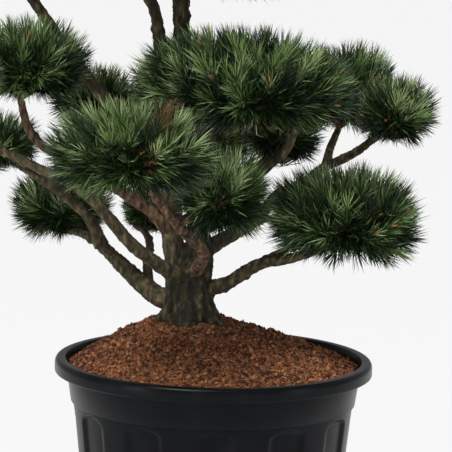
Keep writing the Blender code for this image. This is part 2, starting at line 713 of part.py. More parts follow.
def build():
    """Clear the scene and model the potted tree from the ground up."""
    for old in list(bpy.data.objects):
        bpy.data.objects.remove(old)
    make_pot(material("pot_plastic", (0.012, 0.014, 0.018), 0.45))
    make_soil(material("peat", (0.105, 0.045, 0.022), 0.95))
    wood = make_wood(material("bark", (0.150, 0.120, 0.075), 0.85))
    needles = material("needles", (0.035, 0.095, 0.030), 0.60)
    for index, pad in enumerate(PADS):
        make_pad(index, pad, wood, needles)


build()
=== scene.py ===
"""Potted gnom mugo pine, dressed: fluted black pot, fibrous peat, fissured bark and pads of needles."""

import math
import random

import bmesh
import bpy
import numpy as np
from mathutils import Matrix, Vector, noise


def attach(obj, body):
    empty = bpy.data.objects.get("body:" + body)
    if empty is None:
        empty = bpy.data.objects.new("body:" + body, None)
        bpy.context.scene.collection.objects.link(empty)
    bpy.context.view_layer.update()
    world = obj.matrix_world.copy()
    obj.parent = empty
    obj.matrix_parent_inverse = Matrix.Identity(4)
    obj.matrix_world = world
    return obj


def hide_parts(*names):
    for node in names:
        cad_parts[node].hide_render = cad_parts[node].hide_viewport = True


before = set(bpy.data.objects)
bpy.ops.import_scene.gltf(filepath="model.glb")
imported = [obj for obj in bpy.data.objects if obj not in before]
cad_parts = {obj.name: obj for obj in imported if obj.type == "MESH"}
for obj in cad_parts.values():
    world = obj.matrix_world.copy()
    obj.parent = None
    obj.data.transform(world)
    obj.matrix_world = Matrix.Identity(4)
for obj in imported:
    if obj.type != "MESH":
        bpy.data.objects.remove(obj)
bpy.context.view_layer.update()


# Studio
# The floor is a wide pale sheet under an even pale sky, with one broad soft lamp high on the front left
# and a tall strip of soft light on each side, which draws the pot's flutes.
# A long lens looks down a little from the front, and the picture is turned slightly, as in the photograph.
FLOOR_HALF_WIDTH = 40.0
FLOOR_COLOUR = (0.88, 0.88, 0.88)
FLOOR_ROUGHNESS = 0.95
SKY_COLOUR = (0.99, 0.99, 1.0)
SKY_STRENGTH = 0.40
LAMP_STRENGTH = 2.38
LAMP_SOFTNESS = math.radians(20)
LAMP_PLACE = Vector((-1.1, -1.5, 3.4))
STRIP_PLACES = (Vector((-2.6, -1.9, 0.9)), Vector((2.9, -1.5, 0.9)))
STRIP_POWERS = (16.0, 8.0)
STRIP_SIZE = (0.45, 1.8)
STRIP_AIM = Vector((0.0, 0.0, 0.3))
CAMERA_PLACE = Vector((0.0149, -3.8926, 1.1367))
CAMERA_TILT = math.radians(8.0)
CAMERA_TURN = math.radians(1.25)
CAMERA_LENS = 200.0
CAMERA_REACH = 200.0


def new_finish(name, roughness, colour=(0.5, 0.5, 0.5)):
    """Material with one base colour; returns it with its shader."""
    made = bpy.data.materials.new(name)
    made.use_nodes = True
    shader = made.node_tree.nodes["Principled BSDF"]
    shader.inputs["Base Color"].default_value = (*colour, 1.0)
    shader.inputs["Roughness"].default_value = roughness
    return made, shader


half = FLOOR_HALF_WIDTH
floor_corners = [(-half, -half, 0), (half, -half, 0), (half, half, 0), (-half, half, 0)]
floor_mesh = bpy.data.meshes.new("floor")
floor_mesh.from_pydata(floor_corners, [], [(0, 1, 2, 3)])
floor_mesh.materials.append(new_finish("paper", FLOOR_ROUGHNESS, FLOOR_COLOUR)[0])
floor = bpy.data.objects.new("floor", floor_mesh)
bpy.context.scene.collection.objects.link(floor)

sky = bpy.data.worlds.new("sky")
sky.use_nodes = True
sky.node_tree.nodes["Background"].inputs["Color"].default_value = (*SKY_COLOUR, 1.0)
sky.node_tree.nodes["Background"].inputs["Strength"].default_value = SKY_STRENGTH
bpy.context.scene.world = sky

lamp_data = bpy.data.lights.new("lamp", "SUN")
lamp_data.energy = LAMP_STRENGTH
lamp_data.angle = LAMP_SOFTNESS
lamp = bpy.data.objects.new("lamp", lamp_data)
lamp.rotation_euler = LAMP_PLACE.to_track_quat("Z", "Y").to_euler()
bpy.context.scene.collection.objects.link(lamp)

for number, (place, power) in enumerate(zip(STRIP_PLACES, STRIP_POWERS)):
    strip_data = bpy.data.lights.new(f"strip_{number}", "AREA")
    strip_data.shape = "RECTANGLE"
    strip_data.size, strip_data.size_y = STRIP_SIZE
    strip_data.energy = power
    strip = bpy.data.objects.new(f"strip_{number}", strip_data)
    turned = (place - STRIP_AIM).to_track_quat("Z", "Y").to_matrix().to_4x4()
    strip.matrix_world = Matrix.Translation(place) @ turned
    strip.visible_camera = False
    bpy.context.scene.collection.objects.link(strip)

camera_data = bpy.data.cameras.new("camera")
camera_data.lens = CAMERA_LENS
camera_data.clip_end = CAMERA_REACH
camera = bpy.data.objects.new("camera", camera_data)
level_right = Vector((1.0, 0.0, 0.0))
level_up = Vector((0.0, math.sin(CAMERA_TILT), math.cos(CAMERA_TILT)))
picture_right = level_right * math.cos(CAMERA_TURN) + level_up * math.sin(CAMERA_TURN)
picture_up = level_up * math.cos(CAMERA_TURN) - level_right * math.sin(CAMERA_TURN)
facing = Matrix((picture_right, picture_up, picture_right.cross(picture_up))).transposed()
camera.matrix_world = Matrix.Translation(CAMERA_PLACE) @ facing.to_4x4()
bpy.context.scene.collection.objects.link(camera)
bpy.context.scene.camera = camera
bpy.context.scene.view_settings.view_transform = "Standard"


# Pot
# The pot is one hollow moulding in black plastic: a cone with twelve arched flutes under a plain band,
# a rolled rim and a flat floor with six drain holes. Handling has left a faint dusty bloom on it.
POT_HEIGHT = 0.380
RIM_RADIUS = 0.250
RIM_TOP_RADIUS = 0.244
RIM_INNER_RADIUS = 0.233
LIP_BOTTOM = 0.358
BAND_TOP_RADIUS = 0.2305
LEDGE_HEIGHT = 0.312
LEDGE_RADIUS = 0.2242
FOOT_RADIUS = 0.188
BODY_TOP_RADIUS = 0.2206
WALL_THICKNESS = 0.0035
FLOOR_THICKNESS = 0.005
FLUTES = 12
FLUTE_TURN = math.radians(1.7)
FLUTE_DEPTH = 0.0050
FLUTE_FLAT_ANGLE = math.radians(6.2)
FLUTE_EDGE_ANGLE = math.radians(8.75)
FLUTE_TOP_DROP = 0.004
FLUTE_ARCH_DROP = 0.020
FLUTE_TOP_SLOPE = 0.007
POT_COLUMNS = 360
PANEL_ROWS = (0.003, 0.270, 12)
ARCH_ROWS = (0.273, 0.3105, 26)
FOOT_ROUND = 0.003
FOOT_BEVEL = 0.0008
LEDGE_EDGE = ((-0.0004, -0.0012), (0.0008, 0.0))
BAND_EDGE = ((-0.005, -0.0003), (-0.001, 0.0), (0.0, 0.0015))
LIP_ROUND = 0.003
LIP_TURNS = (0.2, 0.5, 0.8, 1.0)
RIM_ROUND = 0.0085
RIM_TURNS = (0.25, 0.5, 0.75, 1.0)
INNER_EDGE = ((0.0, 0.002), (-0.0006, 0.0005), (-0.002, 0.0))
POT_SHARP_ANGLE = math.radians(40)
DRAIN_HOLES = 6
DRAIN_RADIUS = 0.010
DRAIN_CIRCLE_RADIUS = 0.140
DRAIN_SIDES = 24
POT_COLOURS = ((0.30, (0.0015, 0.0020, 0.0028)), (0.62, (0.0035, 0.0045, 0.0060)),
               (0.85, (0.013, 0.013, 0.014)))
POT_BLOOM = (22.0, 6.0)
POT_GRAIN = (260.0, 3.0)
POT_GRAIN_HEIGHT = 0.00012
POT_ROUGHNESS = 0.30
POT_SHEEN_LEVEL = 0.11


def grain(made, scale, detail, stretch=(1.0, 1.0, 1.0)):
    """Noise fixed to the piece; scale counts its features in a metre."""
    nodes = made.node_tree.nodes
    place = nodes.new("ShaderNodeTexCoord")
    mapping = nodes.new("ShaderNodeMapping")
    mapping.inputs["Scale"].default_value = stretch
    made.node_tree.links.new(place.outputs["Object"], mapping.inputs["Vector"])
    pattern = nodes.new("ShaderNodeTexNoise")
    pattern.inputs["Scale"].default_value = scale
    pattern.inputs["Detail"].default_value = detail
    made.node_tree.links.new(mapping.outputs["Vector"], pattern.inputs["Vector"])
    return pattern.outputs["Fac"]


def colour_by(made, shader, pattern, stops):
    """Colours that follow a pattern, each at its own level of it."""
    ramp = made.node_tree.nodes.new("ShaderNodeValToRGB")
    edges = ramp.color_ramp.elements
    while len(edges) < len(stops):
        edges.new(0.5)
    for edge, (level, colour) in zip(edges, stops):
        edge.position = level
        edge.color = (*colour, 1.0)
    made.node_tree.links.new(pattern, ramp.inputs["Fac"])
    made.node_tree.links.new(ramp.outputs["Color"], shader.inputs["Base Color"])


def bump_by(made, shader, pattern, height):
    """Fine relief that follows a pattern."""
    bump = made.node_tree.nodes.new("ShaderNodeBump")
    bump.inputs["Distance"].default_value = height
    made.node_tree.links.new(pattern, bump.inputs["Height"])
    made.node_tree.links.new(bump.outputs["Normal"], shader.inputs["Normal"])


def skin(rings, first=0):
    """Points and faces of a closed skin over rings with equal point counts, numbered from first."""
    count = len(rings[0])
    points = [tuple(point) for ring in rings for point in ring]
    faces = []
    for row in range(len(rings) - 1):
        low = first + row * count
        for column in range(count):
            following = (column + 1) % count
            faces.append((low + column, low + following, low + count + following, low + count + column))
    faces.append(tuple(range(first + count - 1, first - 1, -1)))
    faces.append(tuple(range(first + (len(rings) - 1) * count, first + len(rings) * count)))
    return points, faces


def fit_piece(name, data, replaced):
    """Object with this mesh, which rides with the plant and takes the place of CAD nodes."""
    piece = bpy.data.objects.new(name, data)
    bpy.context.scene.collection.objects.link(piece)
    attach(piece, "root")
    if replaced:
        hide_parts(*replaced)
    return piece


def add_piece(name, points, faces, finishes, slot, *replaced):
    """Smooth piece made of points and faces."""
    data = bpy.data.meshes.new(name)
    data.from_pydata(points, [], faces)
    for finish in finishes:
        data.materials.append(finish)
    data.shade_smooth()
    return fit_piece(name, data, replaced)


def ease(share):
    """Soft step from 0 to 1."""
    share = min(1.0, max(0.0, share))
    return share * share * (3.0 - 2.0 * share)


def body_radius(height):
    """Radius of the panels between the flutes."""
    return FOOT_RADIUS + (BODY_TOP_RADIUS - FOOT_RADIUS) * height / LEDGE_HEIGHT


def inner_radius(height):
    """Radius of the smooth inside wall."""
    top = body_radius(LEDGE_HEIGHT) - FLUTE_DEPTH - WALL_THICKNESS
    if height <= LEDGE_HEIGHT:
        return body_radius(height) - FLUTE_DEPTH - WALL_THICKNESS
    return top + (RIM_INNER_RADIUS - top) * (height - LEDGE_HEIGHT) / (POT_HEIGHT - LEDGE_HEIGHT)


def flute_depth(angle, height):
    """Depth of the flute at a heading and height, with steep sides and a round arch at its top."""
    pitch = 2 * math.pi / FLUTES
    offset = abs((angle - FLUTE_TURN + math.pi / 2 + pitch / 2) % pitch - pitch / 2)
    across = min(1.0, offset / FLUTE_EDGE_ANGLE)
    top = LEDGE_HEIGHT - FLUTE_TOP_DROP - FLUTE_ARCH_DROP * (1.0 - math.sqrt(1.0 - across ** 2))
    side = ease((FLUTE_EDGE_ANGLE - offset) / (FLUTE_EDGE_ANGLE - FLUTE_FLAT_ANGLE))
    return FLUTE_DEPTH * side * ease((top - height) / FLUTE_TOP_SLOPE)


# Each ring of the moulding: height, radius, and whether flutes are pressed into it
outline = [(0.0, FOOT_RADIUS - FOOT_ROUND, True), (FOOT_BEVEL, FOOT_RADIUS - FOOT_BEVEL, True)]
for rows in (PANEL_ROWS, ARCH_ROWS):
    outline += [(height, body_radius(height), True) for height in np.linspace(*rows)]
outline += [(LEDGE_HEIGHT + up, LEDGE_RADIUS + out, False) for up, out in LEDGE_EDGE]
outline += [(LIP_BOTTOM + up, BAND_TOP_RADIUS + out, False) for up, out in BAND_EDGE]
outline.append((LIP_BOTTOM, RIM_RADIUS - LIP_ROUND, False))
for turn_share in LIP_TURNS:
    bend = turn_share * math.pi / 2
    outline.append((LIP_BOTTOM + LIP_ROUND * (1 - math.cos(bend)),
                    RIM_RADIUS - LIP_ROUND * (1 - math.sin(bend)), False))
outline.append((POT_HEIGHT - RIM_ROUND, RIM_RADIUS, False))
for turn_share in RIM_TURNS:
    bend = turn_share * math.pi / 2
    outline.append((POT_HEIGHT - RIM_ROUND * (1 - math.sin(bend)),
                    RIM_TOP_RADIUS + (RIM_RADIUS - RIM_TOP_RADIUS) * math.cos(bend), False))
outline += [(POT_HEIGHT + up, RIM_INNER_RADIUS + out, False) for up, out in INNER_EDGE]
outline += [(height, inner_radius(height), False) for height in (LEDGE_HEIGHT, FLOOR_THICKNESS)]
pot_rings = []
for height, radius, fluted in outline:
    ring = []
    for column in range(POT_COLUMNS):
        angle = 2 * math.pi * column / POT_COLUMNS
        reach = radius - (flute_depth(angle, height) if fluted else 0.0)
        ring.append((reach * math.cos(angle), reach * math.sin(angle), height))
    pot_rings.append(ring)
black_plastic, black_shader = new_finish("black_plastic", POT_ROUGHNESS)
black_shader.inputs["Specular IOR Level"].default_value = POT_SHEEN_LEVEL
colour_by(black_plastic, black_shader, grain(black_plastic, *POT_BLOOM), POT_COLOURS)
bump_by(black_plastic, black_shader, grain(black_plastic, *POT_GRAIN), POT_GRAIN_HEIGHT)
pot = add_piece("pot_moulding", *skin(pot_rings), [black_plastic], "pot_plastic", "pot")

drill = bmesh.new()
for hole in range(DRAIN_HOLES):
    angle = 2 * math.pi * hole / DRAIN_HOLES
    place = Vector((DRAIN_CIRCLE_RADIUS * math.cos(angle), DRAIN_CIRCLE_RADIUS * math.sin(angle), 0.0))
    bmesh.ops.create_cone(drill, cap_ends=True, segments=DRAIN_SIDES, radius1=DRAIN_RADIUS,
                          radius2=DRAIN_RADIUS, depth=4 * FLOOR_THICKNESS, matrix=Matrix.Translation(place))
drill_data = bpy.data.meshes.new("drill")
drill.to_mesh(drill_data)
drill.free()
drill_bit = bpy.data.objects.new("drill", drill_data)
bpy.context.scene.collection.objects.link(drill_bit)
drilling = pot.modifiers.new("drains", "BOOLEAN")
drilling.operation = "DIFFERENCE"
drilling.object = drill_bit
drilled = bpy.data.meshes.new_from_object(pot.evaluated_get(bpy.context.evaluated_depsgraph_get()))
pot.modifiers.clear()
pot.data = drilled
pot.data.set_sharp_from_angle(angle=POT_SHARP_ANGLE)
bpy.data.objects.remove(drill_bit)


# Peat
# Brown peat and coir fill the pot and rise in a low crumbly mound to the foot of the trunk.
# Loose crumbs and short fibres lie all over it, thicker where the mound is steep.
GROUND_HEIGHT = 0.434
MOUND_EDGE_HEIGHT = 0.367
SEAT_RADIUS = 0.068
SEAT_CENTRE = Vector((-0.038, 0.0, GROUND_HEIGHT))
MOUND_SLOPE_POWER = 1.15
FOOT_PILE_HEIGHT = 0.006
FOOT_PILE_REACH = 1.35
FOOT_PILE_FADE = 0.7
WALL_FADE = 0.10
PEAT_LUMPS = ((34.0, 0.0042), (95.0, 0.0026), (210.0, 0.0030))
PEAT_COLUMNS = 300
PEAT_RINGS = 84
SEAT_SHARE = 0.20
WALL_GAP = 0.0006
CRUMBS = 9500
CRUMB_SIZE = (0.0014, 0.0050)
CRUMB_SIZE_SCATTER = (0.6, 1.0)
CRUMB_SPREAD = (0.035, 0.985)
CRUMB_JITTER = 0.45
CRUMB_SHARES = (4, 5, 2)
CRUMB_SEED = 11
FIBRES = 2600
FIBRE_TURN = 0.045
FIBRE_RUN = 0.030
FIBRE_SPREAD = (0.05, 0.93)
FIBRE_LIFT = 0.0012
FIBRE_BEND = 0.0010
FIBRE_SEED = 12
FIBRE_WIDTH = (0.0005, 0.0010)
PEAT_COLOURS = ((0.30, (0.016, 0.006, 0.003)), (0.46, (0.120, 0.040, 0.015)), (0.60, (0.290, 0.105, 0.038)),
                (0.78, (0.460, 0.200, 0.085)))
CRUMB_COLOURS = ((0.060, 0.020, 0.008), (0.250, 0.090, 0.033), (0.440, 0.180, 0.072))
FIBRE_COLOURS = ((0.320, 0.130, 0.050), (0.560, 0.310, 0.160))
PEAT_ROUGHNESS = 0.95
FIBRE_ROUGHNESS = 0.9
PEAT_GRAIN = (210.0, 8.0)
PEAT_GRAIN_HEIGHT = 0.0022
UPRIGHT = 0.9
BLADE_BEND = 0.55
BLADE_BEND_SAG = 0.30
BLADE_FOOT_WIDTH = 0.8


def mound_point(angle, share):
    """Point on the mound; share runs from the trunk's axis to the pot's wall."""
    heading = Vector((math.cos(angle), math.sin(angle), 0.0))
    if share < SEAT_SHARE:
        point = SEAT_CENTRE + heading * SEAT_RADIUS * share / SEAT_SHARE
        slope = 0.0
    else:
        slope = (share - SEAT_SHARE) / (1.0 - SEAT_SHARE)
        edge = heading * (inner_radius(MOUND_EDGE_HEIGHT) - WALL_GAP)
        point = (SEAT_CENTRE + heading * SEAT_RADIUS).lerp(edge, slope)
    point.z = GROUND_HEIGHT + (MOUND_EDGE_HEIGHT - GROUND_HEIGHT) * slope ** MOUND_SLOPE_POWER
    spread = (Vector((point.x, point.y)) - SEAT_CENTRE.xy).length
    near_foot = (SEAT_RADIUS * FOOT_PILE_REACH - spread) / (SEAT_RADIUS * FOOT_PILE_FADE)
    point.z += FOOT_PILE_HEIGHT * ease(near_foot)
    flat = Vector((point.x, point.y, 0.0))
    lumps = sum(height * noise.noise(flat * scale) for scale, height in PEAT_LUMPS)
    point.z += ease((1.0 - share) / WALL_FADE) * lumps
    return point


def square_to(aims):
    """Two directions square to each aim and to each other."""
    upright = np.abs(aims[:, 2:3]) > UPRIGHT
    helper = np.where(upright, np.array([[1.0, 0.0, 0.0]]), np.array([[0.0, 0.0, 1.0]]))
    first = np.cross(aims, helper)
    first /= np.linalg.norm(first, axis=1, keepdims=True)
    return first, np.cross(aims, first)


def blades(name, feet, aims, sags, lengths, widths, rolls, kinds, finishes, slot, *replaced):
    """Narrow bent blades of three faces in one piece, each with a finish of its own."""
    first, second = square_to(aims)
    side = first * np.cos(rolls)[:, None] + second * np.sin(rolls)[:, None]
    half = side * widths[:, None] / 2
    middle = feet + aims * (BLADE_BEND * lengths)[:, None] + BLADE_BEND_SAG * sags
    tip = feet + aims * lengths[:, None] + sags
    foot_half = BLADE_FOOT_WIDTH * half
    points = np.stack([feet - foot_half, feet + foot_half, middle - half, middle + half, tip], axis=1)
    count = len(feet)
    corners = np.array([0, 1, 3, 0, 3, 2, 2, 3, 4])
    loops = (np.arange(count)[:, None] * 5 + corners[None, :]).ravel()
    data = bpy.data.meshes.new(name)
    data.vertices.add(5 * count)
    data.vertices.foreach_set("co", points.astype(np.float32).ravel())
    data.loops.add(9 * count)
    data.loops.foreach_set("vertex_index", loops.astype(np.int32))
    data.polygons.add(3 * count)
    data.polygons.foreach_set("loop_start", np.arange(0, 9 * count, 3, dtype=np.int32))
    for finish in finishes:
        data.materials.append(finish)
    data.polygons.foreach_set("material_index", np.repeat(kinds, 3).astype(np.int32))
    data.update(calc_edges=True)
    fit_piece(name, data, replaced)


peat_rings = []
for height in (FLOOR_THICKNESS + WALL_GAP, LEDGE_HEIGHT):
    reach = inner_radius(height) - WALL_GAP
    peat_rings.append([(reach * math.cos(2 * math.pi * column / PEAT_COLUMNS),
                        reach * math.sin(2 * math.pi * column / PEAT_COLUMNS), height)
                       for column in range(PEAT_COLUMNS)])
for step in range(PEAT_RINGS, 0, -1):
    peat_rings.append([mound_point(2 * math.pi * column / PEAT_COLUMNS, step / PEAT_RINGS)
                       for column in range(PEAT_COLUMNS)])
peat, peat_shader = new_finish("peat", PEAT_ROUGHNESS)
peat_grain = grain(peat, *PEAT_GRAIN)
colour_by(peat, peat_shader, peat_grain, PEAT_COLOURS)
bump_by(peat, peat_shader, peat_grain, PEAT_GRAIN_HEIGHT)
add_piece("peat_mound", *skin(peat_rings), [peat], "peat", "soil")

chance = random.Random(CRUMB_SEED)
crumb_points = []
crumb_faces = []
crumb_kinds = []
for crumb in range(CRUMBS):
    place = mound_point(chance.uniform(0, 2 * math.pi), math.sqrt(chance.uniform(*CRUMB_SPREAD)))
    size = chance.uniform(*CRUMB_SIZE) * chance.uniform(*CRUMB_SIZE_SCATTER)
    first = len(crumb_points)
    for axis in ((1, 0, 0), (0, 1, 0), (-1, 0, 0), (0, -1, 0), (0, 0, 1), (0, 0, -1)):
        jitter = Vector([chance.uniform(-CRUMB_JITTER, CRUMB_JITTER) for _ in range(3)])
        crumb_points.append(place + (Vector(axis) + jitter) * size)
    for start in range(4):
        following = (start + 1) % 4
        crumb_faces.append((first + start, first + following, first + 4))
        crumb_faces.append((first + following, first + start, first + 5))
    crumb_kinds += [chance.choices(range(len(CRUMB_COLOURS)), CRUMB_SHARES)[0]] * 8
crumb_finishes = [new_finish(f"crumb_{number}", PEAT_ROUGHNESS, colour)[0]
                  for number, colour in enumerate(CRUMB_COLOURS)]
crumbs = add_piece("peat_crumbs", crumb_points, crumb_faces, crumb_finishes, "peat")
crumbs.data.polygons.foreach_set("material_index", crumb_kinds)

spread = np.random.default_rng(FIBRE_SEED)
fibre_turns = spread.uniform(0, 2 * math.pi, FIBRES)
fibre_shares = np.sqrt(spread.uniform(*FIBRE_SPREAD, FIBRES))
fibre_feet = np.array([mound_point(angle, share) for angle, share in zip(fibre_turns, fibre_shares)])
fibre_turns += spread.normal(0, FIBRE_TURN, FIBRES) / fibre_shares
fibre_shares += spread.normal(0, FIBRE_RUN, FIBRES)
fibre_tips = np.array([mound_point(angle, share) for angle, share in zip(fibre_turns, fibre_shares)])
fibre_aims = fibre_tips - fibre_feet
fibre_feet[:, 2] += FIBRE_LIFT
fibre_lengths = np.linalg.norm(fibre_aims, axis=1)
fibre_finishes = [new_finish(f"fibre_{number}", FIBRE_ROUGHNESS, colour)[0]
                  for number, colour in enumerate(FIBRE_COLOURS)]
blades("peat_fibres", fibre_feet, fibre_aims / fibre_lengths[:, None],
       spread.normal(0, FIBRE_BEND, (FIBRES, 3)), fibre_lengths, spread.uniform(*FIBRE_WIDTH, FIBRES),
       spread.uniform(0, math.pi, FIBRES), spread.integers(0, len(FIBRE_COLOURS), FIBRES),
       fibre_finishes, "peat")


# Trunk and boughs
# The wood is one living body: a short stout trunk that flares into the peat, two stems and a score of boughs.
# Its bark is grey-brown to olive with small cracked plates, thicker low down and redder on young wood.
SEAT_GAP = 0.0003
TRUNK_FOOT = Vector((SEAT_CENTRE.x, SEAT_CENTRE.y, GROUND_HEIGHT + SEAT_GAP))
TRUNK_RADII = (
    (0.000, 0.056),
    (0.010, 0.048),
    (0.024, 0.042),
    (0.050, 0.038),
    (0.080, 0.036),
    (0.104, 0.029),
    (0.130, 0.0185),
    (0.190, 0.0165),
    (0.470, 0.0135),
    (0.600, 0.0095),
    (0.670, 0.0070),
)
TRUNK_BENDS = (
    (-0.039, 0.000, 0.458),
    (-0.042, 0.001, 0.495),
    (-0.038, 0.005, 0.522),
    (-0.028, 0.012, 0.560),
    (-0.030, 0.020, 0.605),
    (-0.044, 0.030, 0.705),
    (-0.056, 0.030, 0.815),
    (-0.062, 0.012, 0.935),
    (-0.059, 0.000, 1.030),
    (-0.058, 0.000, 1.114),
)
ROOT_LOBES = 5
ROOT_LOBE_SHARE = 0.17
ROOT_LOBE_HEIGHT = 0.040
ROOT_LOBE_TURN = 0.6
# Each limb: name, carrier, share along it where it leaves, radius at base and tip, bends
LIMBS = (
    ("left_stem", "trunk", 0.105, 0.0180, 0.0065, (
        (-0.060, 0.000, 0.531), (-0.068, 0.000, 0.566), (-0.070, 0.000, 0.613), (-0.075, 0.005, 0.707),
        (-0.085, 0.010, 0.800), (-0.096, 0.010, 0.888), (-0.110, 0.000, 0.940), (-0.146, -0.036, 0.978),
        (-0.178, -0.066, 1.003))),
    ("far_left_stem", "left_stem", 0.219, 0.0120, 0.0080, (
        (-0.100, 0.020, 0.681), (-0.175, 0.002, 0.780), (-0.234, 0.005, 0.853), (-0.263, 0.010, 0.894),
        (-0.292, 0.015, 0.935), (-0.320, 0.025, 0.968))),
    ("rising_left_bough", "left_stem", 0.135, 0.0110, 0.0060, (
        (-0.109, -0.010, 0.617), (-0.198, -0.030, 0.674), (-0.269, -0.050, 0.715), (-0.293, -0.060, 0.748),
        (-0.301, -0.070, 0.781))),
    ("low_left_bough", "trunk", 0.052, 0.0190, 0.0060, (
        (-0.090, 0.020, 0.473), (-0.145, 0.070, 0.509), (-0.196, 0.115, 0.547), (-0.224, 0.140, 0.555),
        (-0.243, 0.160, 0.555))),
    ("front_left_bough", "trunk", 0.102, 0.0125, 0.0055, (
        (-0.075, -0.045, 0.525), (-0.127, -0.080, 0.567), (-0.158, -0.100, 0.605), (-0.203, -0.115, 0.655),
        (-0.264, -0.115, 0.685), (-0.330, -0.105, 0.713), (-0.377, -0.095, 0.726))),
    ("front_bough", "trunk", 0.102, 0.0112, 0.0060, (
        (-0.024, -0.045, 0.536), (-0.021, -0.075, 0.562), (-0.058, -0.125, 0.607), (-0.087, -0.175, 0.651),
        (-0.112, -0.222, 0.684))),
    ("low_right_bough", "trunk", 0.076, 0.0128, 0.0060, (
        (0.011, -0.015, 0.498), (0.046, -0.030, 0.522), (0.072, -0.040, 0.538), (0.115, -0.050, 0.548),
        (0.168, -0.060, 0.569), (0.191, -0.060, 0.579))),
    ("high_right_bough", "trunk", 0.150, 0.0128, 0.0060, (
        (0.007, 0.040, 0.560), (0.058, 0.075, 0.587), (0.095, 0.098, 0.625), (0.139, 0.110, 0.647),
        (0.169, 0.115, 0.671), (0.214, 0.090, 0.697), (0.246, 0.062, 0.725))),
    ("upper_bough", "trunk", 0.217, 0.0105, 0.0072, (
        (-0.002, 0.000, 0.596), (0.035, -0.033, 0.643), (0.071, -0.060, 0.687), (0.102, -0.074, 0.717),
        (0.114, -0.082, 0.746))),
    ("back_bough", "trunk", 0.232, 0.0100, 0.0055, (
        (-0.034, 0.100, 0.609), (-0.036, 0.190, 0.638), (-0.037, 0.250, 0.657))),
    ("back_right_bough", "trunk", 0.275, 0.0080, 0.0050, (
        (0.014, 0.040, 0.640), (0.057, 0.062, 0.673), (0.082, 0.078, 0.692))),
    ("back_upper_bough", "trunk", 0.414, 0.0080, 0.0055, (
        (-0.033, 0.085, 0.731), (-0.021, 0.145, 0.762))),
    ("top_right_bough", "trunk", 0.766, 0.0070, 0.0050, (
        (-0.042, -0.018, 0.962), (-0.018, -0.045, 0.972))),
    ("top_back_bough", "trunk", 0.712, 0.0080, 0.0055, (
        (-0.072, 0.080, 0.943), (-0.076, 0.150, 0.975))),
    ("back_left_bough", "far_left_stem", 0.176, 0.0065, 0.0050, (
        (-0.136, 0.050, 0.716), (-0.176, 0.070, 0.748))),
    ("low_left_riser", "low_left_bough", 0.700, 0.0100, 0.0050, (
        (-0.209, 0.105, 0.587), (-0.262, 0.095, 0.632), (-0.309, 0.095, 0.661), (-0.339, 0.100, 0.678))),
    ("back_middle_bough", "low_left_bough", 0.263, 0.0080, 0.0050, (
        (-0.110, 0.080, 0.517), (-0.108, 0.130, 0.538), (-0.118, 0.190, 0.550), (-0.134, 0.225, 0.555))),
    ("left_edge_bough", "front_left_bough", 0.891, 0.0052, 0.0040, (
        (-0.349, -0.140, 0.750), (-0.358, -0.185, 0.790), (-0.361, -0.210, 0.812))),
    ("front_side_bough", "front_bough", 0.581, 0.0070, 0.0050, (
        (-0.040, -0.128, 0.617), (-0.014, -0.124, 0.619))),
    ("low_right_fork", "low_right_bough", 0.478, 0.0070, 0.0045, (
        (0.093, -0.034, 0.551), (0.140, -0.024, 0.574))),
    ("high_right_fork", "high_right_bough", 0.732, 0.0075, 0.0055, (
        (0.180, 0.145, 0.698), (0.192, 0.170, 0.724))),
    ("high_right_side", "high_right_bough", 0.311, 0.0060, 0.0040, (
        (0.078, 0.050, 0.595), (0.106, 0.020, 0.606))),
)
LIMB_STEP = 0.050
FLARE_STEP = 0.010
BARK_STEP = 0.0024
BARK_COLUMN_WIDTH = 0.0019
FEWEST_COLUMNS = 12
WIDE_FOOT_PART = 6
TRUNK_PLATES = (0.0105, 0.0026)
PLATE_SIZE = (0.0040, 0.22)
PLATE_DEPTH = (0.0003, 0.075)
PLATE_STRETCH = 0.42
CRACK_SHARE = 0.30
CRACK_LEVEL = 0.8
FLAKE_DEPTH = 0.7
FLAKE_SIZE = 0.30
LUMP_SHARE = 0.10
LUMP_SIZE = 0.026
KNOT_SPACING = 0.07
FEWEST_KNOTS = 2
KNOT_SPREAD = (0.10, 0.9)
KNOT_SIZES = (0.3, 0.5)
SMALLEST_KNOT = 0.004
KNOT_HEIGHT = 0.55
GRAIN_DRIFT = 50
COLLAR_SHARE = 0.32
COLLAR_LENGTH = 0.020
REDDISH = ("front_bough", "front_side_bough", "rising_left_bough", "left_edge_bough", "low_right_fork",
           "high_right_side", "back_left_bough", "back_right_bough")
OLD_BARK_COLOURS = ((0.34, (0.004, 0.003, 0.0015)), (0.46, (0.014, 0.011, 0.004)),
                    (0.58, (0.046, 0.039, 0.014)), (0.74, (0.170, 0.140, 0.070)))
BOUGH_BARK_COLOURS = ((0.30, (0.012, 0.009, 0.004)), (0.46, (0.044, 0.034, 0.015)),
                      (0.60, (0.098, 0.078, 0.036)), (0.78, (0.260, 0.205, 0.115)))
YOUNG_BARK_COLOURS = ((0.32, (0.013, 0.006, 0.003)), (0.45, (0.060, 0.032, 0.015)),
                      (0.58, (0.145, 0.084, 0.042)), (0.76, (0.330, 0.215, 0.125)))
OLD_BARK_SCALE = 105.0
BOUGH_BARK_SCALE = 125.0
YOUNG_BARK_SCALE = 150.0
BARK_DETAIL = 9.0
BARK_STRETCH = (1.0, 1.0, 0.45)
BARK_ROUGHNESS = 0.90
BARK_GRAIN_HEIGHT = 0.0022


